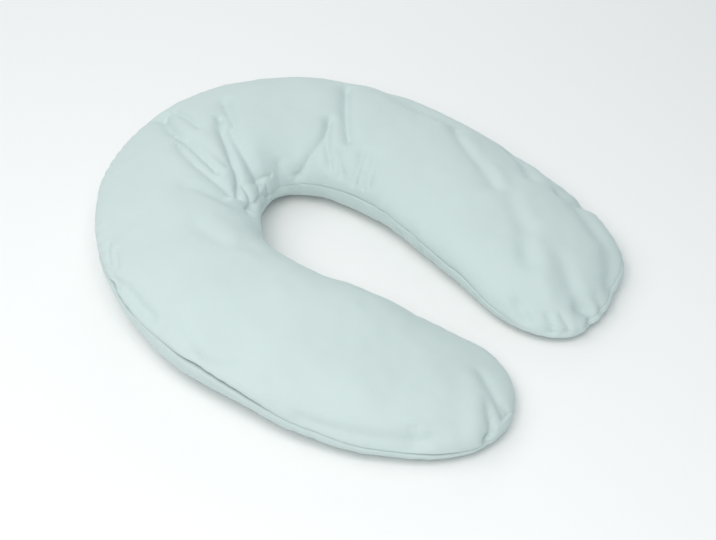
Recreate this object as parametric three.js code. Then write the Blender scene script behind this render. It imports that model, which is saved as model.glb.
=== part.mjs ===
// Baby positioning pillow: one long filled pillow that lies bent into a horseshoe on its under side.
//
// Millimetres, +Z up, the floor at z = 0. The bend is towards +Y and both tips are towards -Y.
// A place on the pillow has two coordinates. "along" runs down the middle line, from -HALF_LENGTH at the
// left tip through 0 in the bend to +HALF_LENGTH at the right tip. "across" runs from -1 at the seam inside
// the horseshoe to +1 at the seam outside it. An upper and an under panel meet in that one seam.

import * as THREE from 'three';

const HALF_LENGTH = 940;

// How the filled pillow lies: the middle line's heading in degrees, then sizes in mm.
// The seams' columns are their heights above the floor.
const SECTIONS = [
  { along: -940, heading: 123, width: 280, crown: 70, outerSeam: 25, innerSeam: 25 },
  { along: -820, heading: 119, width: 280, crown: 90, outerSeam: 30, innerSeam: 30 },
  { along: -680, heading: 105, width: 315, crown: 120, outerSeam: 50, innerSeam: 45 },
  { along: -500, heading: 94, width: 310, crown: 140, outerSeam: 80, innerSeam: 50 },
  { along: -320, heading: 69, width: 295, crown: 145, outerSeam: 100, innerSeam: 50 },
  { along: -160, heading: 37, width: 290, crown: 150, outerSeam: 105, innerSeam: 55 },
  { along: 0, heading: 5, width: 290, crown: 155, outerSeam: 100, innerSeam: 60 },
  { along: 160, heading: -41, width: 280, crown: 150, outerSeam: 90, innerSeam: 60 },
  { along: 320, heading: -76, width: 285, crown: 145, outerSeam: 75, innerSeam: 65 },
  { along: 500, heading: -97, width: 295, crown: 135, outerSeam: 65, innerSeam: 75 },
  { along: 680, heading: -104, width: 305, crown: 115, outerSeam: 55, innerSeam: 70 },
  { along: 820, heading: -120, width: 295, crown: 95, outerSeam: 50, innerSeam: 60 },
  { along: 940, heading: -113, width: 275, crown: 70, outerSeam: 35, innerSeam: 20 },
];

// Each tip is rounded over its length, by a superellipse of this power: 2 is a plain ellipse.
const LEFT_TIP = { length: 170, power: 2.1 };
const RIGHT_TIP = { length: 180, power: 2.2 };

// A cross section is a superellipse above the seam and a fuller one below it, pressed flat on the floor.
// The seam is drawn in along the arms and runs out to a plain edge at the tips.
const UPPER_POWER = 2.2;
const UNDER_POWER = 2.6;
const FLOOR_PRESS = 6;
const SEAM_DRAWN_IN = 4;

// Creases of the cloth, each one a line over the top through three [along, across] places.
// reach is about half of its width and depth how far it sinks in, both in mm.
const FOLDS = [
  // left of the bend: long creases that run together at the pinch inside it
  { from: [-10, 0.7], through: [-95, 0], to: [-200, -0.76], reach: 15, depth: 9 },
  { from: [-55, 0.15], through: [-95, -0.25], to: [-135, -0.55], reach: 10, depth: 4 },
  { from: [15, 0.6], through: [0, 0.25], to: [-20, -0.05], reach: 11, depth: 4 },
  { from: [35, 0.05], through: [-60, -0.5], to: [-185, -0.76], reach: 13, depth: 8 },
  { from: [70, 0.3], through: [55, -0.05], to: [30, -0.3], reach: 10, depth: 3 },
  { from: [5, -0.3], through: [-30, -0.63], to: [-90, -0.9], reach: 14, depth: 8 },
  { from: [25, -0.92], through: [-15, -0.88], to: [-85, -0.96], reach: 12, depth: 8 },
  { from: [-115, -0.76], through: [-170, -0.78], to: [-230, -0.84], reach: 14, depth: 6 },
  // the left arm's shoulder: two broad dents
  { from: [-180, -0.44], through: [-235, -0.62], to: [-285, -0.95], reach: 28, depth: 6 },
  { from: [-305, -0.15], through: [-355, -0.3], to: [-410, -0.62], reach: 26, depth: 4 },
  // right of the bend
  { from: [272, 0.45], through: [288, -0.1], to: [345, -0.68], reach: 17, depth: 8 },
  { from: [272, -0.35], through: [278, -0.62], to: [308, -0.9], reach: 11, depth: 5 },
  { from: [275, -0.5], through: [234, -0.9], to: [140, -1], reach: 13, depth: 5 },
  { from: [378, -0.4], through: [400, -0.7], to: [445, -0.97], reach: 15, depth: 4 },
  // the right arm: one long soft trough, a dent at the outer side and puckers at the tip
  { from: [485, 0.45], through: [605, 0.1], to: [785, -0.4], reach: 34, depth: 6 },
  { from: [695, 0.55], through: [720, 0.7], to: [745, 0.82], reach: 24, depth: 4 },
  { from: [900, -0.6], through: [915, -0.8], to: [927, -0.97], reach: 12, depth: 4 },
  // the left arm: soft troughs over the outer seam, and the tuck at its tip
  { from: [-245, 0.9], through: [-270, 0.93], to: [-300, 0.97], reach: 12, depth: 3 },
  { from: [-330, 0.95], through: [-400, 0.9], to: [-470, 0.9], reach: 15, depth: 4 },
  { from: [-485, 0.93], through: [-540, 0.9], to: [-600, 0.92], reach: 15, depth: 3 },
  { from: [-670, 0.97], through: [-730, 0.94], to: [-790, 0.88], reach: 15, depth: 4 },
  { from: [-880, 0.3], through: [-896, 0.74], to: [-890, 1], reach: 12, depth: 7 },
  { from: [-880, -0.1], through: [-905, 0.36], to: [-920, 0.78], reach: 12, depth: 4 },
];
const FOLD_SAMPLES = 12;
const DEEPEST_FOLD = 15;

// The cloth beside a crease stands up a little, by this share of the crease's own form.
const FOLD_SHOULDER = 0.7;

// The mesh: how far apart its rings stand, and how many points each ring has.
const CREASED_FROM = -420;
const CREASED_TO = 470;
const CREASED_STEP = 10;
const PLAIN_STEP = 24;
const TIP_RINGS = 13;
const RING_POINTS = 36;
const MIDDLE_LINE_STEP = 1;

const COVER_COLOR = 0xcbdddb;
const COVER_ROUGHNESS = 0.75;

// A smooth curve through one column of SECTIONS, as a function of along.
function sectionCurve(column) {
  const last = SECTIONS.length - 1;
  const at = (row) => SECTIONS[row].along;
  const value = (row) => SECTIONS[row][column];
  const rise = (row) => (value(row + 1) - value(row)) / (at(row + 1) - at(row));
  const slope = (row) => {
    if (row === 0) return rise(0);
    if (row === last) return rise(last - 1);
    const before = at(row) - at(row - 1);
    const after = at(row + 1) - at(row);
    return (rise(row - 1) * after + rise(row) * before) / (before + after);
  };
  return (along) => {
    let row = 0;
    while (row < last - 1 && along >= at(row + 1)) row += 1;
    const span = at(row + 1) - at(row);
    const t = (along - at(row)) / span;
    const blended = THREE.MathUtils.lerp(value(row), value(row + 1), t * t * (3 - 2 * t));
    const leaving = slope(row) * span * t * (1 - t) * (1 - t);
    const arriving = slope(row + 1) * span * t * t * (1 - t);
    return blended + leaving - arriving;
  };
}

const heading = sectionCurve('heading');
const width = sectionCurve('width');
const crown = sectionCurve('crown');
const outerSeam = sectionCurve('outerSeam');
const innerSeam = sectionCurve('innerSeam');

// Points of the middle line, one each MIDDLE_LINE_STEP, with along 0 at the origin.
function walkMiddleLine() {
  const points = [new THREE.Vector2(0, 0)];
  for (const direction of [-1, 1]) {
    const place = new THREE.Vector2(0, 0);
    for (let gone = 0; gone < HALF_LENGTH; gone += MIDDLE_LINE_STEP) {
      const turned = THREE.MathUtils.degToRad(heading(direction * (gone + MIDDLE_LINE_STEP / 2)));
      place.x += direction * MIDDLE_LINE_STEP * Math.cos(turned);
      place.y += direction * MIDDLE_LINE_STEP * Math.sin(turned);
      if (direction < 0) points.unshift(place.clone());
      else points.push(place.clone());
    }
  }
  return points;
}

const middleLine = walkMiddleLine();

function middleLineAt(along) {
  const steps = (along + HALF_LENGTH) / MIDDLE_LINE_STEP;
  const index = Math.min(Math.floor(steps), middleLine.length - 2);
  return middleLine[index].clone().lerp(middleLine[index + 1], steps - index);
}

// How much of the full section is left: 1 along the arms, falling to 0 at each tip.
function tipShare(along) {
  const tip = along < 0 ? LEFT_TIP : RIGHT_TIP;
  const past = (Math.abs(along) - (HALF_LENGTH - tip.length)) / tip.length;
  if (past <= 0) return 1;
  return Math.pow(Math.max(0, 1 - Math.pow(past, tip.power)), 1 / tip.power);
}

// A point of the smooth pillow, before its creases. height is 0 at the seam and 1 at the middle of a panel.
function pillowPoint(along, across, height, isUpper) {
  const share = tipShare(along);
  const seamMiddle = (outerSeam(along) + innerSeam(along)) / 2;
  const seamTilt = (outerSeam(along) - innerSeam(along)) / 2;
  const seam = seamMiddle + seamTilt * across * share;
  const upper = seam + (crown(along) - seam) * share * height;
  const under = Math.max(0, seam - (seam + FLOOR_PRESS) * share * height);
  const turned = THREE.MathUtils.degToRad(heading(along));
  const sideways = (width(along) / 2) * share * across;
  const middle = middleLineAt(along);
  return new THREE.Vector3(
    middle.x - Math.sin(turned) * sideways,
    middle.y + Math.cos(turned) * sideways,
    isUpper ? upper : under,
  );
}

// The points of one ring, from the outer seam over the top to the inner seam and back underneath.
function ringPoints(along) {
  const points = [];
  for (let step = 0; step < RING_POINTS; step += 1) {
    const angle = (step / RING_POINTS) * 2 * Math.PI;
    const isUpper = step <= RING_POINTS / 2;
    const power = isUpper ? UPPER_POWER : UNDER_POWER;
    const across = Math.sign(Math.cos(angle)) * Math.pow(Math.abs(Math.cos(angle)), 2 / power);
    const height = Math.pow(Math.abs(Math.sin(angle)), 2 / power);
    points.push(pillowPoint(along, across, height, isUpper));
  }
  return points;
}

// Where the rings stand: close together in the creased bend and towards the tips.
function ringPlaces() {
  const places = [];
  const tipAngle = Math.PI / 2 / TIP_RINGS;
  for (let ring = TIP_RINGS - 1; ring > 0; ring -= 1) {
    places.push(-HALF_LENGTH + LEFT_TIP.length * (1 - Math.sin(ring * tipAngle)));
  }
  const stretches = [
    { from: -HALF_LENGTH + LEFT_TIP.length, to: CREASED_FROM, step: PLAIN_STEP },
    { from: CREASED_FROM, to: CREASED_TO, step: CREASED_STEP },
    { from: CREASED_TO, to: HALF_LENGTH - RIGHT_TIP.length, step: PLAIN_STEP },
  ];
  for (const stretch of stretches) {
    const count = Math.round((stretch.to - stretch.from) / stretch.step);
    for (let ring = 0; ring < count; ring += 1) {
      places.push(stretch.from + ((stretch.to - stretch.from) * ring) / count);
    }
  }
  for (let ring = 0; ring < TIP_RINGS; ring += 1) {
    places.push(HALF_LENGTH - RIGHT_TIP.length * (1 - Math.sin(ring * tipAngle)));
  }
  return places;
}

// One closed skin: the rings joined by quads, and a fan to a single point at each tip.
function skin(rings, leftTip, rightTip) {
  const points = [leftTip, ...rings.flat(), rightTip];
  const faces = [];
  const vertex = (ring, step) => 1 + ring * RING_POINTS + (step % RING_POINTS);
  const rightIndex = points.length - 1;
  for (let step = 0; step < RING_POINTS; step += 1) {
    faces.push(0, vertex(0, step + 1), vertex(0, step));
    faces.push(rightIndex, vertex(rings.length - 1, step), vertex(rings.length - 1, step + 1));
    for (let ring = 0; ring < rings.length - 1; ring += 1) {
      faces.push(vertex(ring, step), vertex(ring + 1, step + 1), vertex(ring + 1, step));
      faces.push(vertex(ring, step), vertex(ring, step + 1), vertex(ring + 1, step + 1));
    }
  }
  const geometry = new THREE.BufferGeometry().setFromPoints(points);
  geometry.setIndex(faces);
  geometry.computeVertexNormals();
  return geometry;
}

// The line of a crease over the smooth top, as points a short way apart.
function foldLine(fold) {
  const places = [fold.from, fold.through, fold.to];
  const curve = new THREE.CatmullRomCurve3(places.map((place) => new THREE.Vector3(...place, 0)));
  return curve.getPoints(FOLD_SAMPLES).map((place) => {
    const across = THREE.MathUtils.clamp(place.y, -1, 1);
    const height = Math.pow(1 - Math.pow(Math.abs(across), UPPER_POWER), 1 / UPPER_POWER);
    return pillowPoint(place.x, across, height, true);
  });
}

// How deep a crease is at a point: full in its middle, nothing at its ends, with a low shoulder on each side.
function foldDepth(fold, point) {
  let nearest = Infinity;
  let nearestAt = 0;
  const segment = new THREE.Line3();
  const foot = new THREE.Vector3();
  for (let index = 0; index < fold.line.length - 1; index += 1) {
    segment.set(fold.line[index], fold.line[index + 1]);
    const t = segment.closestPointToPointParameter(point, true);
    segment.at(t, foot);
    const distance = foot.distanceTo(point);
    if (distance < nearest) {
      nearest = distance;
      nearestAt = (index + t) / (fold.line.length - 1);
    }
  }
  const off = nearest / fold.reach;
  const profile = (1 - FOLD_SHOULDER * off * off) * Math.exp(-off * off);
  return fold.depth * profile * Math.sqrt(Math.sin(Math.PI * nearestAt));
}

// Sinks the creases and the seam into the smooth skin. What lies on the floor stays there.
function sinkFolds(geometry, places, folds) {
  const position = geometry.getAttribute('position');
  const normal = geometry.getAttribute('normal');
  const point = new THREE.Vector3();
  const outward = new THREE.Vector3();
  for (let index = 1; index < position.count - 1; index += 1) {
    point.fromBufferAttribute(position, index);
    if (point.z === 0) continue;
    outward.fromBufferAttribute(normal, index);
    const creased = folds.reduce((sum, fold) => sum + foldDepth(fold, point), 0);
    const ring = Math.floor((index - 1) / RING_POINTS);
    const isSeam = (index - 1) % (RING_POINTS / 2) === 0;
    const drawnIn = isSeam ? SEAM_DRAWN_IN * tipShare(places[ring]) : 0;
    point.addScaledVector(outward, -Math.min(creased, DEEPEST_FOLD) - drawnIn);
    position.setXYZ(index, point.x, point.y, Math.max(0, point.z));
  }
  geometry.computeVertexNormals();
}

function makePillow() {
  const folds = FOLDS.map((fold) => ({ ...fold, line: foldLine(fold) }));
  const places = ringPlaces();
  const rings = places.map(ringPoints);
  const leftTip = pillowPoint(-HALF_LENGTH, 0, 0, true);
  const rightTip = pillowPoint(HALF_LENGTH, 0, 0, true);
  const geometry = skin(rings, leftTip, rightTip);
  sinkFolds(geometry, places, folds);
  geometry.computeBoundingBox();
  const centre = geometry.boundingBox.getCenter(new THREE.Vector3());
  geometry.translate(-centre.x, -centre.y, 0);
  const material = new THREE.MeshStandardMaterial({
    color: COVER_COLOR,
    roughness: COVER_ROUGHNESS,
    metalness: 0,
  });
  const mesh = new THREE.Mesh(geometry, material);
  mesh.name = 'pillow';
  return mesh;
}

const group = new THREE.Group();
group.add(makePillow());

export default group;
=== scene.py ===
# Baby positioning pillow: a long filled pillow of thin mint cloth, bent into a horseshoe on a pale floor.
#
# Shapes are worked out in millimetres and become metres when a mesh is made. A place on the pillow has two
# coordinates. "along" runs down the middle line, from the left tip through 0 in the bend to the right tip.
# "across" runs from -1 at the seam inside the horseshoe to +1 at the seam outside it.

import math

import bpy
import numpy as np
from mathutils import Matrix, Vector, kdtree


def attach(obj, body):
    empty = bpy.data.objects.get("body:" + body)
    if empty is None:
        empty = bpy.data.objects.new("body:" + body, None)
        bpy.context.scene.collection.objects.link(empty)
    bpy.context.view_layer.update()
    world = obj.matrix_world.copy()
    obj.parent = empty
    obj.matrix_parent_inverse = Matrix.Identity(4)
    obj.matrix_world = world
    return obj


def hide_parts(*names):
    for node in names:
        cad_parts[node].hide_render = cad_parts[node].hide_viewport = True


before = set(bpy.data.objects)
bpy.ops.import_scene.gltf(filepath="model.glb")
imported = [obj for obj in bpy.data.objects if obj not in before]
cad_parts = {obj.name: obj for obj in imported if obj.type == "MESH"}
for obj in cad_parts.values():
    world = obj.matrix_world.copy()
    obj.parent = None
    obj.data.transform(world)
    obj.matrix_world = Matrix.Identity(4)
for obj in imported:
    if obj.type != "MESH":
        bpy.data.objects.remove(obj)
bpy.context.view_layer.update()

MM = 0.001
HALF_LENGTH = 940

# How the filled pillow lies: the middle line's heading in degrees, then sizes in mm. The seam columns are
# the seams' heights above the floor. "crest" is where across the highest line runs. The edge columns are
# the powers by which the upper panel comes down to each seam: about 1 is a sharp edge, 2.2 a round one.
SECTIONS = [
    {"along": -940, "heading": 123, "width": 280, "crown": 70, "outer_seam": 25, "inner_seam": 25,
     "crest": 0.0, "outer_edge": 2.2, "inner_edge": 1.8},
    {"along": -820, "heading": 119, "width": 280, "crown": 90, "outer_seam": 30, "inner_seam": 30,
     "crest": 0.0, "outer_edge": 2.2, "inner_edge": 1.9},
    {"along": -680, "heading": 105, "width": 315, "crown": 120, "outer_seam": 47, "inner_seam": 45,
     "crest": 0.0, "outer_edge": 2.2, "inner_edge": 2.0},
    {"along": -500, "heading": 94, "width": 308, "crown": 140, "outer_seam": 79, "inner_seam": 50,
     "crest": 0.0, "outer_edge": 2.2, "inner_edge": 2.0},
    {"along": -320, "heading": 69, "width": 293, "crown": 145, "outer_seam": 94, "inner_seam": 50,
     "crest": 0.0, "outer_edge": 2.2, "inner_edge": 1.9},
    {"along": -160, "heading": 37, "width": 288, "crown": 149, "outer_seam": 105, "inner_seam": 55,
     "crest": 0.0, "outer_edge": 2.2, "inner_edge": 2.1},
    {"along": 0, "heading": 5, "width": 288, "crown": 154, "outer_seam": 100, "inner_seam": 60,
     "crest": 0.0, "outer_edge": 2.2, "inner_edge": 2.2},
    {"along": 160, "heading": -41, "width": 280, "crown": 150, "outer_seam": 90, "inner_seam": 60,
     "crest": 0.0, "outer_edge": 2.2, "inner_edge": 2.2},
    {"along": 320, "heading": -76, "width": 287, "crown": 145, "outer_seam": 70, "inner_seam": 65,
     "crest": 0.05, "outer_edge": 2.1, "inner_edge": 2.2},
    {"along": 500, "heading": -96, "width": 298, "crown": 135, "outer_seam": 52, "inner_seam": 72,
     "crest": 0.0, "outer_edge": 2.0, "inner_edge": 2.2},
    {"along": 680, "heading": -102, "width": 320, "crown": 115, "outer_seam": 38, "inner_seam": 60,
     "crest": -0.15, "outer_edge": 1.8, "inner_edge": 2.2},
    {"along": 820, "heading": -123, "width": 300, "crown": 95, "outer_seam": 32, "inner_seam": 50,
     "crest": -0.25, "outer_edge": 1.6, "inner_edge": 2.0},
    {"along": 940, "heading": -107, "width": 272, "crown": 70, "outer_seam": 25, "inner_seam": 15,
     "crest": -0.25, "outer_edge": 1.4, "inner_edge": 1.6},
]

# Each tip is rounded over its length, by a superellipse of this power: 2 is a plain ellipse.
LEFT_TIP = {"length": 170, "power": 2.1}
RIGHT_TIP = {"length": 180, "power": 2.05}

# The powers of the two panels' own curves, and how far the under panel would reach below the floor, in mm,
# if the floor didn't press it flat.
UPPER_POWER = 2.2
UNDER_POWER = 2.5
FLOOR_PRESS = 6

# Creases of the upper panel: each is a smooth line through its (along, across) places. How far its left and
# its right side reach, how deep it sinks in and over what length it fades are given at its start and its
# stop, in mm. Left and right are as seen on the way down the line.
FOLDS = [
    # left of the bend: one long crease that parts into two, and a shorter one behind them
    {"places": ((17, 0.91), (2, 0.71), (-12, 0.53), (-28, 0.32), (-36, 0.18), (-46, 0.04), (-60, -0.11),
                (-74, -0.25), (-86, -0.36), (-103, -0.5), (-110, -0.58)),
     "left": (9, 7), "right": (12, 6), "depth": (24, 11), "fade": (14, 26)},
    {"places": ((-44, 0.24), (-56, 0.16), (-70, 0.07), (-84, -0.05), (-102, -0.21), (-116, -0.35),
                (-128, -0.47), (-139, -0.58), (-150, -0.68), (-164, -0.75)),
     "left": (8, 9), "right": (7, 13), "depth": (9, 13), "fade": (16, 16)},
    {"places": ((32, 0.91), (24, 0.67), (20, 0.5), (12, 0.31), (2, 0.1), (-2, -0.01)),
     "left": (9, 7), "right": (9, 7), "depth": (13, 9), "fade": (24, 24)},
    # straight down into the pinch: creases with sharp ridges between them
    {"places": ((56, 0.15), (41, 0.02), (20, -0.15), (-2, -0.33), (-25, -0.47), (-49, -0.59),
                (-70, -0.68), (-97, -0.75), (-130, -0.79), (-170, -0.8)),
     "left": (5, 6), "right": (6, 9), "depth": (14, 15), "fade": (12, 16)},
    {"places": ((46, -0.12), (29, -0.31), (8, -0.53), (-8, -0.68), (-24, -0.82), (-32, -0.91),
                (-49, -0.96)),
     "left": (10, 8), "right": (15, 13), "depth": (14, 16), "fade": (22, 16)},
    {"places": ((88, 0.51), (80, 0.32), (74, 0.17), (65, -0.02), (52, -0.21), (44, -0.33)),
     "left": (9, 8), "right": (12, 8), "depth": (16, 9), "fade": (28, 26)},
    {"places": ((-91, -0.76), (-104, -0.83), (-120, -0.89), (-138, -0.93), (-168, -0.93)),
     "left": (4, 4), "right": (5, 6), "depth": (7, 9), "fade": (14, 10)},
    # the pinch itself: the tuck along the seam and the hooked fold above it
    {"places": ((-186, -0.89), (-151, -0.93), (-115, -0.96), (-86, -0.97), (-64, -0.98), (-28, -1),
                (-4, -1)),
     "left": (4, 3), "right": (4, 3), "depth": (6, 4), "fade": (8, 6)},
    {"places": ((-84, -0.97), (-58, -0.95), (-37, -0.93), (-10, -0.93), (16, -0.94), (46, -0.96)),
     "left": (4, 4), "right": (3, 3), "depth": (5, 4), "fade": (8, 6)},
    {"places": ((-14, -0.95), (-16, -0.99), (-16, -1), (-32, -1)),
     "left": (3, 3), "right": (3, 3), "depth": (4, 5), "fade": (10, 4)},
    # right of the bend: the crease that runs back to the pinch, and the upright ones beside it
    {"places": ((269, -0.18), (272, -0.36), (272, -0.52), (266, -0.67), (252, -0.79), (236, -0.89),
                (218, -0.96), (194, -0.99), (172, -1)),
     "left": (7, 8), "right": (6, 8), "depth": (6, 11), "fade": (22, 30)},
    {"places": ((268, -0.15), (278, -0.49), (288, -0.69), (302, -0.81), (316, -0.9), (328, -0.97)),
     "left": (7, 6), "right": (8, 6), "depth": (11, 8), "fade": (22, 24)},
    {"places": ((312, -0.66), (326, -0.76), (342, -0.86), (356, -0.94), (362, -0.99)),
     "left": (6, 8), "right": (6, 8), "depth": (5, 7), "fade": (24, 14)},
    {"places": ((270, 0.71), (281, 0.34), (290, 0.09), (304, -0.17), (320, -0.38), (338, -0.56),
                (344, -0.65)),
     "left": (8, 7), "right": (12, 8), "depth": (20, 12), "fade": (30, 26)},
    {"places": ((374, -0.5), (383, -0.63), (389, -0.73), (394, -0.83), (398, -0.93), (401, -0.99)),
     "left": (5, 4), "right": (8, 6), "depth": (7, 7), "fade": (26, 8)},
    {"places": ((410, -0.8), (424, -0.91), (434, -0.98)),
     "left": (3, 3), "right": (3, 3), "depth": (3, 5), "fade": (10, 6)},
    {"places": ((402, -0.5), (419, -0.67), (432, -0.84), (444, -0.97)),
     "left": (10, 8), "right": (8, 6), "depth": (5, 6), "fade": (30, 12)},
    # the right arm's long soft crease, and the right tip's short ones
    {"places": ((466, 0.62), (506, 0.38), (546, 0.26), (588, 0.18), (618, 0.11), (652, 0.02)),
     "left": (13, 16), "right": (12, 14), "depth": (10, 8), "fade": (22, 26)},
    {"places": ((895, -0.57), (910, -0.72), (922, -1)),
     "left": (4, 3), "right": (5, 4), "depth": (5, 8), "fade": (12, 4)},
    {"places": ((904, -0.41), (920, -0.52), (934, -0.94)),
     "left": (4, 3), "right": (5, 4), "depth": (5, 8), "fade": (12, 4)},
    # the left arm, beside its outer seam
    {"places": ((-248, 0.85), (-266, 0.91), (-289, 0.94)),
     "left": (4, 4), "right": (4, 4), "depth": (5, 4), "fade": (12, 12)},
    {"places": ((-266, 0.81), (-288, 0.85), (-304, 0.89)),
     "left": (4, 4), "right": (5, 5), "depth": (4, 3), "fade": (12, 12)},
    {"places": ((-793, 0.78), (-795, 0.88), (-795, 1)),
     "left": (4, 4), "right": (8, 8), "depth": (5, 8), "fade": (12, 4)},
    # the left tip: its deep tuck and the creases that fan out of it
    {"places": ((-890, 0.24), (-895, 0.5), (-900, 0.7), (-903, 0.84), (-902, 0.95), (-894, 1)),
     "left": (4, 3), "right": (7, 5), "depth": (2, 16), "fade": (30, 2)},
    {"places": ((-860, -0.29), (-882, -0.2), (-892, -0.04), (-902, 0.14), (-914, 0.44), (-926, 0.9)),
     "left": (12, 9), "right": (10, 6), "depth": (6, 8), "fade": (22, 10)},
    {"places": ((-914, 0.32), (-923, 0.5), (-933, 0.92)),
     "left": (4, 4), "right": (4, 4), "depth": (4, 5), "fade": (10, 6)},
]
# How round a crease's bottom is, next to the reach of its sides.
FOLD_BOTTOM = 0.45
# How far apart the points of its line are, and the most that all creases and dents sink a point in, in mm.
FOLD_POINT_STEP = 4
DEEPEST_FOLD = 28
# How many reaches away from its line a crease or a dent is still worked out.
FOLD_MARGIN = 5
HOLLOW_MARGIN = 3

# Soft dents in the filling: where the reach is, the dent is half as deep. A minus depth is a swelling.
HOLLOWS = [
    # round the pinch
    {"places": ((-32, 0.09), (-42, -0.17), (-54, -0.34), (-67, -0.52)), "reach": (8, 9), "depth": (4, 5)},
    {"places": ((118, -0.89), (104, -0.98), (100, -1)), "reach": (8, 9), "depth": (3, 3)},
    {"places": ((-164, -0.14), (-168, -0.33), (-180, -0.54), (-193, -0.74), (-188, -0.9)),
     "reach": (12, 16), "depth": (5, 13)},
    {"places": ((-283, -0.15), (-320, -0.25), (-358, -0.36), (-380, -0.56)),
     "reach": (14, 16), "depth": (4, 4)},
    {"places": ((-228, -0.97), (-188, -0.98), (-140, -0.98)), "reach": (20, 20), "depth": (-6, -5)},
    # behind the bend and along the right arm's outer side
    {"places": ((326, 0.82), (374, 0.59), (425, 0.63), (467, 0.63)), "reach": (20, 16), "depth": (5, 8)},
    {"places": ((503, 0.48), (540, 0.38)), "reach": (13, 13), "depth": (-4, -3)},
    {"places": ((602, 0.28), (638, 0.17)), "reach": (13, 13), "depth": (-5, -4)},
    {"places": ((563, 0.87), (596, 0.82), (644, 0.61)), "reach": (12, 14), "depth": (10, 9)},
    {"places": ((660, 0.16), (707, 0.03)), "reach": (13, 14), "depth": (-3, -3)},
    {"places": ((656, 0.15), (702, 0), (760, -0.14), (812, -0.29)), "reach": (14, 18), "depth": (6, 7)},
    {"places": ((694, 0.74), (706, 0.82), (716, 0.95)), "reach": (12, 12), "depth": (11, 14)},
    {"places": ((728, 0.76), (774, 0.75), (803, 0.8), (839, 0.82), (882, 0.86)),
     "reach": (18, 18), "depth": (10, 10)},
    {"places": ((774, -0.1), (834, -0.18), (879, -0.34)), "reach": (16, 16), "depth": (-5, -5)},
    {"places": ((821, 0.12), (886, 0.1), (913, 0.18)), "reach": (14, 14), "depth": (5, 8)},
    {"places": ((812, 0.19), (834, 0.42)), "reach": (16, 16), "depth": (-3, -3)},
    {"places": ((915, 0.04), (938, 0.64)), "reach": (11, 10), "depth": (11, 11)},
    {"places": ((907, 0.6), (926, 0.85)), "reach": (10, 8), "depth": (5, 4)},
    {"places": ((871, -0.8), (892, -0.92)), "reach": (10, 9), "depth": (8, 7)},
    # the left arm, beside its outer seam
    {"places": ((-306, 0.98), (-334, 0.92), (-360, 0.92), (-390, 0.92)), "reach": (9, 10), "depth": (9, 8)},
    {"places": ((-410, 0.9), (-433, 0.86), (-454, 0.9), (-468, 0.96)), "reach": (14, 11), "depth": (5, 5)},
    {"places": ((-478, 0.97), (-510, 0.94), (-540, 0.88), (-582, 0.9)), "reach": (12, 14), "depth": (6, 5)},
    {"places": ((-648, 0.98), (-703, 0.97), (-752, 0.96), (-784, 0.95), (-810, 0.94)),
     "reach": (9, 13), "depth": (4, 8)},
    {"places": ((-819, 0.89), (-832, 0.93), (-840, 0.98)), "reach": (9, 9), "depth": (3, 3)},
    # the left tip
    {"places": ((-868, 0.03), (-879, 0.49), (-879, 0.89)), "reach": (18, 16), "depth": (-5, -6)},
]

# Short kinks of the under panel where it shows below the right arm's inner seam.
UNDER_FOLDS = [
    {"places": ((546, -0.995), (556, -0.95)),
     "left": (6, 6), "right": (6, 6), "depth": (5, 5), "fade": (5, 5)},
    {"places": ((604, -0.995), (610, -0.95)),
     "left": (5, 6), "right": (5, 6), "depth": (5, 5), "fade": (5, 5)},
    {"places": ((640, -0.995), (650, -0.95)),
     "left": (6, 6), "right": (6, 6), "depth": (4, 4), "fade": (5, 5)},
]

# The seam, down the outer and the inner side, in mm: how deep it is drawn in, and how deep the fine line
# beside it is, where its allowance shows through the upper panel outside and the under panel inside.
SEAMS = [
    {"along": -940, "outer": 1.0, "inner": 0.8, "outer_line": 0.5, "inner_line": 0.0},
    {"along": -900, "outer": 2.5, "inner": 2.0, "outer_line": 0.5, "inner_line": 0.0},
    {"along": -870, "outer": 4.0, "inner": 3.0, "outer_line": 0.0, "inner_line": 0.0},
    {"along": -820, "outer": 5.5, "inner": 3.0, "outer_line": 0.0, "inner_line": 0.0},
    {"along": -780, "outer": 4.0, "inner": 3.0, "outer_line": 0.0, "inner_line": 0.0},
    {"along": -690, "outer": 4.0, "inner": 3.0, "outer_line": 0.0, "inner_line": 0.0},
    {"along": -610, "outer": 5.0, "inner": 3.0, "outer_line": 0.0, "inner_line": 0.0},
    {"along": -540, "outer": 11.0, "inner": 3.0, "outer_line": 0.0, "inner_line": 0.0},
    {"along": -450, "outer": 8.0, "inner": 3.0, "outer_line": 0.0, "inner_line": 0.0},
    {"along": -400, "outer": 4.0, "inner": 3.0, "outer_line": 0.0, "inner_line": 0.0},
    {"along": -370, "outer": 4.0, "inner": 3.0, "outer_line": 0.0, "inner_line": 0.0},
    {"along": -345, "outer": 9.0, "inner": 3.0, "outer_line": 0.0, "inner_line": 0.0},
    {"along": -290, "outer": 7.0, "inner": 3.0, "outer_line": 0.0, "inner_line": 0.0},
    {"along": -230, "outer": 4.0, "inner": 3.0, "outer_line": 0.0, "inner_line": 0.0},
    {"along": 0, "outer": 4.0, "inner": 1.5, "outer_line": 0.0, "inner_line": 0.0},
    {"along": 240, "outer": 3.0, "inner": 1.5, "outer_line": 0.0, "inner_line": 0.0},
    {"along": 340, "outer": 3.0, "inner": 2.8, "outer_line": 0.0, "inner_line": 0.0},
    {"along": 420, "outer": 3.0, "inner": 4.5, "outer_line": 0.0, "inner_line": 0.0},
    {"along": 520, "outer": 2.5, "inner": 6.0, "outer_line": 0.0, "inner_line": 2.0},
    {"along": 650, "outer": 2.0, "inner": 8.0, "outer_line": 0.5, "inner_line": 2.0},
    {"along": 780, "outer": 1.2, "inner": 9.0, "outer_line": 1.5, "inner_line": 1.5},
    {"along": 860, "outer": 0.8, "inner": 4.0, "outer_line": 2.0, "inner_line": 1.0},
    {"along": 940, "outer": 0.8, "inner": 0.8, "outer_line": 2.0, "inner_line": 1.0},
]
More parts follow.
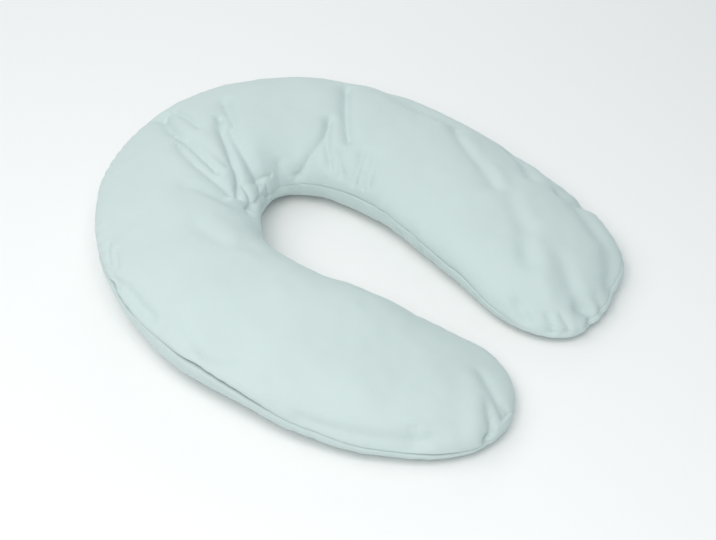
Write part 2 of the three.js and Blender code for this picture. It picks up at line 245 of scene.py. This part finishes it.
# The groove's half width next to its depth, how much of it is the wide part where the panels curve in, and
# how far that part reaches, in mm.
SEAM_SLOT = 0.27
SEAM_SHOULDER = 0.2
SEAM_SHOULDER_REACH = 7
SHALLOWEST_SEAM = 0.1
# Deeper in than this, the outer seam's groove gets painted shade in the cloth's colour where its stitching
# lies in shade. It is fully so over the second depth.
SEAM_SHADE_FROM = 2.5
SEAM_SHADE_OVER = 6
# The fine line's distance from the seam and its reach.
SEAM_LINE_OFF = 8
SEAM_LINE_REACH = 1.6
# The small puckers that the stitching draws in the panels beside it.
PUCKER_PITCH = 23
PUCKER_REACH = 10
PUCKER_DEPTH = 0.35
PUCKER_SEED = 4
# How many points the seam's loop has for each ring of the mesh.
SEAM_FINENESS = 4

# The cloth's own unevenness: soft hollows and swellings, by their size and depth in mm.
UNEVENNESS = [
    {"size": 150, "depth": 1.2, "seed": 1},
    {"size": 60, "depth": 0.45, "seed": 2},
    {"size": 28, "depth": 0.12, "seed": 3},
]
# Each layer is a sum of so many plane waves, between so many times its size long.
NOISE_WAVES = 28
NOISE_LENGTHS = (0.7, 1.6)
# Below this height the panel settles onto the floor and stays smooth.
SETTLED_HEIGHT = 12

# The mesh: how far apart the rings stand down the pillow, in mm of along.
RING_STRETCHES = [
    {"start": -770, "stop": -430, "step": 5.5},
    {"start": -430, "stop": -250, "step": 3.0},
    {"start": -250, "stop": 60, "step": 2.2},
    {"start": 60, "stop": 230, "step": 3.2},
    {"start": 230, "stop": 460, "step": 2.4},
    {"start": 460, "stop": 760, "step": 5.0},
]
TIP_RINGS = 36

# How many steps each stretch round a ring has, in degrees from the outer seam over the top. Beside a seam
# they get narrower towards it, by this power.
SEAM_STRETCH = 13
SEAM_STEPS = 9
SEAM_CROWDING = 1.55
ROUND_STRETCHES = [
    {"start": 13, "stop": 95, "steps": 44},
    {"start": 95, "stop": 167, "steps": 62},
    {"start": 193, "stop": 347, "steps": 24},
]

# The camera's place, from the photo's outline, and the point of the floor that it looks at.
CAMERA_AZIMUTH = -52.5
CAMERA_ELEVATION = 42.4
CAMERA_DISTANCE = 2706
CAMERA_LENS = 75
CAMERA_SENSOR = 36
CAMERA_AIM_FROM_BEND = (-1, -357)

# Softboxes: their direction as turned from the camera's and their height, both in degrees, and watts. Their
# distance and size are in metres.
SOFTBOXES = [
    {"name": "key", "turn": -10, "height": 56, "watts": 45},
    {"name": "side", "turn": -90, "height": 55, "watts": 18},
    {"name": "back", "turn": 180, "height": 25, "watts": 13},
]
SOFTBOX_DISTANCE = 3.0
SOFTBOX_SIZE = 2.0
SOFTBOX_COLOR = (1.0, 0.955, 0.92)
ROOM_LIGHT = 0.5
ROOM_COLOR = (0.85, 0.955, 1.0, 1.0)

FLOOR_HALF = 6.0
FLOOR_COLOR = (0.93, 0.93, 0.93, 1.0)

# The cloth's colour, and the shares of it left where the dye is darkest and where painted shade darkens the
# outer seam's groove.
COVER_COLOR = (0.6, 0.705, 0.69)
DARKEST_DYE = 0.975
PAINTED_SEAM_SHADE = 0.3
# The dye's patches are about 10 cm wide.
DYE_NOISE_SCALE = 9
# The cloth is matt, with the soft sheen of short fibres.
COVER_ROUGHNESS = 0.7
COVER_SPECULAR = 0.3
SHEEN = {"Sheen Weight": 0.2, "Sheen Roughness": 0.5, "Sheen Tint": (0.92, 1.0, 1.0, 1.0)}
# The threads are about half a millimetre apart and the wrinkles about 4 cm wide. "Distance" is in metres.
THREAD_SCALE = 600
THREAD_WANDER = 0.6
WEAVE_BUMP = {"Strength": 0.12, "Distance": 0.0002}
WRINKLE_SCALE = 26
WRINKLE_BUMP = {"Strength": 0.2, "Distance": 0.002}
NOISE_DETAIL = 3


def smooth_curve(at, value):
    """A smooth curve through the values at the given places, as a function of place."""
    gap = np.diff(at)
    rise = np.diff(value) / gap
    inner_slope = (rise[:-1] * gap[1:] + rise[1:] * gap[:-1]) / (gap[:-1] + gap[1:])
    slope = np.concatenate(([rise[0]], inner_slope, [rise[-1]]))

    def curve(place):
        row = np.clip(np.searchsorted(at, place, side="right") - 1, 0, len(gap) - 1)
        t = (place - at[row]) / gap[row]
        blended = value[row] + (value[row + 1] - value[row]) * t * t * (3 - 2 * t)
        leaving = slope[row] * gap[row] * t * (1 - t) ** 2
        arriving = slope[row + 1] * gap[row] * t * t * (1 - t)
        return blended + leaving - arriving

    return curve


def column_curve(rows, column):
    """The curve through one column of a table, as a function of along."""
    at = np.array([row["along"] for row in rows], float)
    return smooth_curve(at, np.array([row[column] for row in rows], float))


heading = column_curve(SECTIONS, "heading")
width = column_curve(SECTIONS, "width")
crown = column_curve(SECTIONS, "crown")
outer_seam = column_curve(SECTIONS, "outer_seam")
inner_seam = column_curve(SECTIONS, "inner_seam")
crest = column_curve(SECTIONS, "crest")
outer_edge = column_curve(SECTIONS, "outer_edge")
inner_edge = column_curve(SECTIONS, "inner_edge")


def walk_middle_line():
    """Stations a millimetre apart and the middle line's x and y there, with along 0 at (0, 0)."""
    stations = np.arange(-HALF_LENGTH, HALF_LENGTH + 1.0)
    turned = np.radians(heading(stations[:-1] + 0.5))
    x = np.concatenate(([0.0], np.cumsum(np.cos(turned))))
    y = np.concatenate(([0.0], np.cumsum(np.sin(turned))))
    return stations, x - x[HALF_LENGTH], y - y[HALF_LENGTH]


STATIONS, MIDDLE_X, MIDDLE_Y = walk_middle_line()


def tip_share(along):
    """How much of the full section is left: 1 along the arms, falling to 0 at each tip."""
    share = np.ones_like(along)
    for tip, side in ((LEFT_TIP, -1), (RIGHT_TIP, 1)):
        past = np.clip((side * along - (HALF_LENGTH - tip["length"])) / tip["length"], 0, 1)
        share = share * np.maximum(0, 1 - past ** tip["power"]) ** (1 / tip["power"])
    return share


def panel_height(along, across, is_upper):
    """How far a panel stands off the seams: 0 at a seam, 1 at its highest line."""
    from_crest = across - crest(along)
    off = np.abs(from_crest) / (1 - np.sign(from_crest) * crest(along))
    edge = np.where(from_crest > 0, outer_edge(along), inner_edge(along))
    upper = np.maximum(0, 1 - off ** UPPER_POWER) ** (1 / edge)
    under = np.maximum(0, 1 - np.abs(across) ** UNDER_POWER) ** (1 / UNDER_POWER)
    return np.where(is_upper, upper, under)


def pillow_point(along, across, is_upper):
    """Points of the smooth pillow."""
    share = tip_share(along)
    height = panel_height(along, across, is_upper)
    seam_middle = (outer_seam(along) + inner_seam(along)) / 2
    seam_tilt = (outer_seam(along) - inner_seam(along)) / 2
    seam = seam_middle + seam_tilt * across * share
    upper = seam + (crown(along) - seam) * share * height
    under = np.maximum(0, seam - (seam + FLOOR_PRESS) * share * height)
    turned = np.radians(heading(along))
    sideways = width(along) / 2 * share * across
    x = np.interp(along, STATIONS, MIDDLE_X) - np.sin(turned) * sideways
    y = np.interp(along, STATIONS, MIDDLE_Y) + np.cos(turned) * sideways
    return np.stack(np.broadcast_arrays(x, y, np.where(is_upper, upper, under)), axis=-1)


def ring_places():
    """Where the rings stand: closest in the creased bend and towards the tips."""
    turns = np.linspace(0, math.pi / 2, TIP_RINGS + 1)[:-1]
    places = [-HALF_LENGTH + LEFT_TIP["length"] * (1 - np.sin(turns[:0:-1]))]
    for stretch in RING_STRETCHES:
        steps = round((stretch["stop"] - stretch["start"]) / stretch["step"])
        places.append(np.linspace(stretch["start"], stretch["stop"], steps + 1)[:-1])
    places.append(HALF_LENGTH - RIGHT_TIP["length"] * (1 - np.sin(turns)))
    return np.concatenate(places)


def round_angles():
    """The angles of a ring's points, in degrees from the outer seam over the top and back underneath."""
    beside = SEAM_STRETCH * np.linspace(0, 1, SEAM_STEPS + 1) ** SEAM_CROWDING
    angles = [beside, 180 - beside, 180 + beside[1:], 360 - beside[1:]]
    for stretch in ROUND_STRETCHES:
        angles.append(np.linspace(stretch["start"], stretch["stop"], stretch["steps"] + 1)[1:-1])
    return np.sort(np.concatenate(angles))


def smooth_skin(places, angles):
    """The smooth pillow's points, rings down the first axis, and which of them are on the upper panel."""
    is_upper = angles <= 180
    cosine = np.cos(np.radians(angles))
    power = np.where(is_upper, UPPER_POWER, UNDER_POWER)
    off = (np.sign(cosine) * np.abs(cosine) ** (2 / power))[None, :]
    along = places[:, None]
    across = np.where(is_upper, crest(along) + off * (1 - np.sign(off) * crest(along)), off)
    return pillow_point(along, across, is_upper[None, :]), is_upper


def outward(points):
    """Unit normals of a skin, pointing out of the pillow."""
    down_the_pillow = np.gradient(points, axis=0)
    round_the_ring = np.roll(points, -1, axis=1) - np.roll(points, 1, axis=1)
    normals = np.cross(round_the_ring, down_the_pillow)
    return normals / np.linalg.norm(normals, axis=-1, keepdims=True)


def fold_line(places, is_upper):
    """Points of the smooth panel along a crease: a smooth curve through its places."""
    places = np.array(places, float)
    steps = np.diff(places, axis=0) * (1, width(0) / 2)
    at = np.concatenate(([0.0], np.cumsum(np.linalg.norm(steps, axis=1))))
    run = np.linspace(0, at[-1], math.ceil(at[-1] / FOLD_POINT_STEP) + 1)
    along = smooth_curve(at, places[:, 0])(run)
    across = smooth_curve(at, places[:, 1])(run)
    return pillow_point(along, np.clip(across, -1, 1), is_upper)


def nearest_on_line(points, normals, line):
    """For each point: its distance to a line, how far down the line, 0 to 1, and if it is to its left."""
    nearest = np.full(len(points), np.inf)
    nearest_at = np.zeros(len(points))
    is_left = np.zeros(len(points), bool)
    for index in range(len(line) - 1):
        step = line[index + 1] - line[index]
        t = np.clip((points - line[index]) @ step / (step @ step), 0, 1)
        off = points - line[index] - t[:, None] * step
        distance = np.linalg.norm(off, axis=1)
        closer = distance < nearest
        nearest[closer] = distance[closer]
        nearest_at[closer] = (index + t[closer]) / (len(line) - 1)
        is_left[closer] = (np.cross(normals, step) * off).sum(axis=1)[closer] > 0
    return nearest, nearest_at, is_left


def ease(share):
    """0 to 1 with level ends."""
    share = np.clip(share, 0, 1)
    return share * share * (3 - 2 * share)


def part_way(pair, share):
    """The value a share of the way from a pair's first to its second."""
    return pair[0] + (pair[1] - pair[0]) * share


def crease_depths(points, normals, rows, is_upper):
    """How far a table's creases sink each point in: steep sides, a narrow bottom and fading ends."""
    depth = np.zeros(len(points))
    for row in rows:
        line = fold_line(row["places"], is_upper)
        margin = FOLD_MARGIN * max(row["left"] + row["right"])
        inside = np.all((points > line.min(0) - margin) & (points < line.max(0) + margin), axis=1)
        distance, at, is_left = nearest_on_line(points[inside], normals[inside], line)
        reach = np.where(is_left, part_way(row["left"], at), part_way(row["right"], at))
        off = distance / reach
        side = np.exp(FOLD_BOTTOM - np.sqrt(off * off + FOLD_BOTTOM * FOLD_BOTTOM))
        length = np.linalg.norm(np.diff(line, axis=0), axis=1).sum()
        fade = ease(at * length / row["fade"][0]) * ease((1 - at) * length / row["fade"][1])
        depth[inside] += part_way(row["depth"], at) * side * fade
    return depth


def hollow_depths(points, normals):
    """How far the soft dents sink each point in."""
    depth = np.zeros(len(points))
    for row in HOLLOWS:
        line = fold_line(row["places"], True)
        margin = HOLLOW_MARGIN * max(row["reach"])
        inside = np.all((points > line.min(0) - margin) & (points < line.max(0) + margin), axis=1)
        distance, at, _ = nearest_on_line(points[inside], normals[inside], line)
        off = distance / part_way(row["reach"], at)
        depth[inside] += part_way(row["depth"], at) * 0.5 ** (off * off)
    return depth


def fold_depths(points, normals, on_upper):
    """How far all creases and dents sink each point in."""
    depth = crease_depths(points, normals, FOLDS, True) + hollow_depths(points, normals)
    depth += np.where(on_upper, 0, crease_depths(points, normals, UNDER_FOLDS, False))
    return np.where(depth > 0, DEEPEST_FOLD * np.tanh(depth / DEEPEST_FOLD), depth)


def soft_noise(places, size, seed):
    """A smooth random field of about unit height, from plane waves of about the given size."""
    random = np.random.default_rng(seed)
    field = np.zeros(len(places))
    for _ in range(NOISE_WAVES):
        direction = random.normal(size=places.shape[1])
        direction /= np.linalg.norm(direction)
        wave = direction / (size * random.uniform(*NOISE_LENGTHS))
        field += np.cos(2 * math.pi * (places @ wave) + random.uniform(0, 2 * math.pi))
    return field * math.sqrt(2 / NOISE_WAVES)


def seam_loop(places):
    """The seam as a closed loop, down the outer side and back up the inner one, with its depths there."""
    ends = np.array([-HALF_LENGTH, HALF_LENGTH], float)
    outer = pillow_point(places, np.ones_like(places), True)
    inner = pillow_point(places, -np.ones_like(places), True)[::-1]
    left, right = pillow_point(ends, np.zeros(2), True)
    loop = np.concatenate([[left], outer, [right], inner])
    depths = []
    for outer_column, inner_column in (("outer", "inner"), ("outer_line", "inner_line")):
        outer_curve = column_curve(SEAMS, outer_column)
        inner_curve = column_curve(SEAMS, inner_column)
        left_depth, right_depth = outer_curve(ends)
        depths.append(np.concatenate([
            [left_depth], outer_curve(places), [right_depth], inner_curve(places)[::-1],
        ]))
    is_outer = np.arange(len(loop)) <= len(places) + 1
    return loop, depths[0], depths[1], is_outer


def nearest_seam(points, loop):
    """For each point, the nearest place of the seam's loop and how far away it is."""
    tree = kdtree.KDTree(len(loop))
    for index, place in enumerate(loop):
        tree.insert(place, index)
    tree.balance()
    found = [tree.find(point) for point in points]
    return np.array([hit[1] for hit in found]), np.array([hit[2] for hit in found])


def seam_depths(points, on_upper, places):
    """How far the seam, the line beside it and its puckers sink each point in, and how much painted shade
    the colour gets in the outer seam's groove.
    """
    fine_places = np.linspace(places[0], places[-1], SEAM_FINENESS * len(places))
    loop, drawn_in, line_depth, is_outer = seam_loop(fine_places)
    index, distance = nearest_seam(points, loop)
    deep = np.maximum(drawn_in[index], SHALLOWEST_SEAM)
    slot = np.exp(-(distance / (SEAM_SLOT * deep)) ** 2)
    shoulder = np.exp(-distance / SEAM_SHOULDER_REACH)
    groove = deep * (slot + (shoulder - slot) * SEAM_SHOULDER)
    has_line = is_outer[index] == on_upper
    line_off = np.abs(distance - SEAM_LINE_OFF) / SEAM_LINE_REACH
    line = np.where(has_line, np.maximum(line_depth[index], 0), 0) * np.exp(-line_off)
    run = np.concatenate(([0.0], np.cumsum(np.linalg.norm(np.diff(loop, axis=0), axis=1))))
    swell = distance / PUCKER_REACH
    pucker = soft_noise(run[index][:, None], PUCKER_PITCH, PUCKER_SEED)
    depth = groove + line + PUCKER_DEPTH * pucker * swell * np.exp(1 - swell)
    # Painted shade: a share of darkening for the colour, deep in the outer seam's groove where shade falls.
    shade = np.where(is_outer[index], slot * ease((deep - SEAM_SHADE_FROM) / SEAM_SHADE_OVER), 0)
    return depth, shade


def make_skin(places, angles):
    """The finished skin, with creases, seam and unevenness, and each point's share of the painted shade in
    the seam's groove.
    """
    skin, is_upper = smooth_skin(places, angles)
    normals = outward(skin).reshape(-1, 3)
    points = skin.reshape(-1, 3)
    on_upper = np.broadcast_to(is_upper, skin.shape[:2]).reshape(-1)
    seam_depth, painted_seam_shade = seam_depths(points, on_upper, places)
    depth = fold_depths(points, normals, on_upper) + seam_depth
    for layer in UNEVENNESS:
        depth += layer["depth"] * soft_noise(points, layer["size"], layer["seed"])
    depth *= ease(points[:, 2] / SETTLED_HEIGHT)
    sunk = points - normals * depth[:, None]
    sunk[:, 2] = np.maximum(sunk[:, 2], 0)
    return sunk.reshape(skin.shape), painted_seam_shade


def cloth_lengths(skin):
    """How far down the cloth each ring is, and how far round it each point of a ring is, in mm."""
    down = np.linalg.norm(np.diff(skin, axis=0), axis=2).mean(axis=1)
    down = np.concatenate(([0.0], np.cumsum(down)))
    closed = np.concatenate([skin, skin[:, :1]], axis=1)
    around = np.cumsum(np.linalg.norm(np.diff(closed, axis=1), axis=2), axis=1)
    around = np.concatenate([np.zeros((len(skin), 1)), around], axis=1)
    return down, around


def make_cover():
    """The pillow's mesh: quads between the rings, a fan at each tip, and the cloth's own metres as UV."""
    places = ring_places()
    skin, painted_seam_shade = make_skin(places, round_angles())
    rings, per_ring = skin.shape[:2]
    ends = pillow_point(np.array([-HALF_LENGTH, HALF_LENGTH], float), np.zeros(2), True)
    points = np.concatenate([skin.reshape(-1, 3), ends])
    centre = (points.min(axis=0) + points.max(axis=0)) / 2
    centre[2] = 0

    down, around = cloth_lengths(skin)
    corners = []
    cloth_places = []
    for ring in range(rings - 1):
        for step in range(per_ring):
            after = (step + 1) % per_ring
            here = ring * per_ring
            corners.append((here + step, here + after, here + per_ring + after, here + per_ring + step))
            cloth_places.extend([
                (down[ring], around[ring, step]), (down[ring], around[ring, step + 1]),
                (down[ring + 1], around[ring + 1, step + 1]), (down[ring + 1], around[ring + 1, step]),
            ])
    left_end = rings * per_ring
    last = (rings - 1) * per_ring
    for step in range(per_ring):
        after = (step + 1) % per_ring
        corners.append((left_end, after, step))
        corners.append((left_end + 1, last + step, last + after))
        for ring, first, second in ((0, step + 1, step), (-1, step, step + 1)):
            middle = (around[ring, first] + around[ring, second]) / 2
            cloth_places.extend([(down[ring], middle), (down[ring], around[ring, first])])
            cloth_places.append((down[ring], around[ring, second]))

    mesh = bpy.data.meshes.new("pillow_cover")
    mesh.from_pydata(((points - centre) * MM).tolist(), [], corners)
    mesh.update()
    mesh.shade_smooth()
    # The painted shade of the outer seam's groove, kept on the mesh for the cover's colour to darken it.
    shade = mesh.attributes.new("painted_seam_shade", "FLOAT", "POINT")
    shade.data.foreach_set("value", np.concatenate([painted_seam_shade, [0, 0]]).astype(np.float32))
    cloth = mesh.uv_layers.new(name="cloth")
    cloth.data.foreach_set("uv", (np.array(cloth_places, np.float32) * MM).reshape(-1))
    cover = bpy.data.objects.new("pillow_cover", mesh)
    bpy.context.scene.collection.objects.link(cover)
    return cover, centre


def new_material(name):
    material = bpy.data.materials.new(name)
    material.use_nodes = True
    tree = material.node_tree
    return material, tree.nodes, tree.links, tree.nodes["Principled BSDF"]


def object_noise(nodes, links, place, scale):
    """A noise over the piece's own metres."""
    noise = nodes.new("ShaderNodeTexNoise")
    noise.inputs["Scale"].default_value = scale
    noise.inputs["Detail"].default_value = NOISE_DETAIL
    links.new(place.outputs["Object"], noise.inputs["Vector"])
    return noise


def add_bump(nodes, links, height, sizes):
    """A bump of the given strength and distance."""
    bump = nodes.new("ShaderNodeBump")
    for name, value in sizes.items():
        bump.inputs[name].default_value = value
    links.new(height, bump.inputs["Height"])
    return bump


def cover_color(nodes, links, place):
    """The dye's faint unevenness, and painted shade that darkens the colour where the seam's groove is
    deep.
    """
    tint = object_noise(nodes, links, place, DYE_NOISE_SCALE)
    dye = nodes.new("ShaderNodeValToRGB")
    dye.color_ramp.elements[0].position = 0.35
    dye.color_ramp.elements[0].color = tuple(part * DARKEST_DYE for part in COVER_COLOR) + (1.0,)
    dye.color_ramp.elements[1].position = 0.65
    dye.color_ramp.elements[1].color = COVER_COLOR + (1.0,)
    links.new(tint.outputs["Fac"], dye.inputs["Fac"])
    # Painted shade: the colour mixes towards a dark copy of itself in the outer seam's groove.
    seam = nodes.new("ShaderNodeAttribute")
    seam.attribute_name = "painted_seam_shade"
    color = nodes.new("ShaderNodeMix")
    color.data_type = "RGBA"
    color.inputs["B"].default_value = tuple(part * PAINTED_SEAM_SHADE for part in COVER_COLOR) + (1.0,)
    links.new(seam.outputs["Fac"], color.inputs["Factor"])
    links.new(dye.outputs["Color"], color.inputs["A"])
    return color.outputs["Result"]


def woven_threads(nodes, links):
    """The height of a plain weave: threads down and round the cloth."""
    cloth = nodes.new("ShaderNodeUVMap")
    cloth.uv_map = "cloth"
    weave = nodes.new("ShaderNodeMath")
    weave.operation = "ADD"
    for index, direction in enumerate(("X", "Y")):
        threads = nodes.new("ShaderNodeTexWave")
        threads.wave_type = "BANDS"
        threads.bands_direction = direction
        threads.inputs["Scale"].default_value = THREAD_SCALE
        threads.inputs["Distortion"].default_value = THREAD_WANDER
        links.new(cloth.outputs["UV"], threads.inputs["Vector"])
        links.new(threads.outputs["Fac"], weave.inputs[index])
    return weave.outputs["Value"]


def cover_material():
    """Fine plain-woven cotton with a soft sheen: threads, small wrinkles, a faintly uneven dye and painted
    shade in the outer seam's groove.
    """
    material, nodes, links, shader = new_material("cover_cloth")
    shader.inputs["Roughness"].default_value = COVER_ROUGHNESS
    shader.inputs["Specular IOR Level"].default_value = COVER_SPECULAR
    for name, value in SHEEN.items():
        shader.inputs[name].default_value = value
    place = nodes.new("ShaderNodeTexCoord")
    links.new(cover_color(nodes, links, place), shader.inputs["Base Color"])
    weave_bump = add_bump(nodes, links, woven_threads(nodes, links), WEAVE_BUMP)
    wrinkle = object_noise(nodes, links, place, WRINKLE_SCALE)
    wrinkle_bump = add_bump(nodes, links, wrinkle.outputs["Fac"], WRINKLE_BUMP)
    links.new(weave_bump.outputs["Normal"], wrinkle_bump.inputs["Normal"])
    links.new(wrinkle_bump.outputs["Normal"], shader.inputs["Normal"])
    return material


def make_floor():
    """A plain white floor under and far round the pillow."""
    corners = [
        (-FLOOR_HALF, -FLOOR_HALF, 0), (FLOOR_HALF, -FLOOR_HALF, 0),
        (FLOOR_HALF, FLOOR_HALF, 0), (-FLOOR_HALF, FLOOR_HALF, 0),
    ]
    mesh = bpy.data.meshes.new("floor")
    mesh.from_pydata(corners, [], [(0, 1, 2, 3)])
    floor = bpy.data.objects.new("floor", mesh)
    bpy.context.scene.collection.objects.link(floor)
    material, _, _, shader = new_material("floor_white")
    shader.inputs["Base Color"].default_value = FLOOR_COLOR
    shader.inputs["Roughness"].default_value = 0.9
    shader.inputs["Specular IOR Level"].default_value = 0.1
    mesh.materials.append(material)


def direction_from(azimuth, elevation):
    """The unit vector from the object towards a camera at that azimuth and elevation, in degrees."""
    turn = math.radians(azimuth)
    lift = math.radians(elevation)
    return Vector((math.sin(turn) * math.cos(lift), -math.cos(turn) * math.cos(lift), math.sin(lift)))


def make_camera(centre):
    """The camera, at the photo's angle."""
    camera = bpy.data.objects.new("camera", bpy.data.cameras.new("camera"))
    camera.data.lens = CAMERA_LENS
    camera.data.sensor_width = CAMERA_SENSOR
    aim = Vector((CAMERA_AIM_FROM_BEND[0] - centre[0], CAMERA_AIM_FROM_BEND[1] - centre[1], 0)) * MM
    back = direction_from(CAMERA_AZIMUTH, CAMERA_ELEVATION)
    camera.location = aim + back * CAMERA_DISTANCE * MM
    camera.rotation_euler = back.to_track_quat("Z", "Y").to_euler()
    bpy.context.scene.collection.objects.link(camera)
    bpy.context.scene.camera = camera


def make_softbox(row):
    light = bpy.data.lights.new(row["name"], "AREA")
    light.shape = "SQUARE"
    light.size = SOFTBOX_SIZE
    light.energy = row["watts"]
    light.color = SOFTBOX_COLOR
    softbox = bpy.data.objects.new(row["name"], light)
    away = direction_from(CAMERA_AZIMUTH + row["turn"], row["height"])
    softbox.location = away * SOFTBOX_DISTANCE
    softbox.rotation_euler = away.to_track_quat("Z", "Y").to_euler()
    bpy.context.scene.collection.objects.link(softbox)


def make_light():
    """Plain soft studio light: a white room and large softboxes."""
    world = bpy.data.worlds.new("studio")
    world.use_nodes = True
    background = world.node_tree.nodes["Background"]
    background.inputs["Color"].default_value = ROOM_COLOR
    background.inputs["Strength"].default_value = ROOM_LIGHT
    bpy.context.scene.world = world
    for row in SOFTBOXES:
        make_softbox(row)
    bpy.context.scene.view_settings.view_transform = "Standard"


cover, pillow_centre = make_cover()
cover.data.materials.append(cover_material())
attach(cover, "root")
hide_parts("pillow")

make_camera(pillow_centre)
make_floor()
make_light()
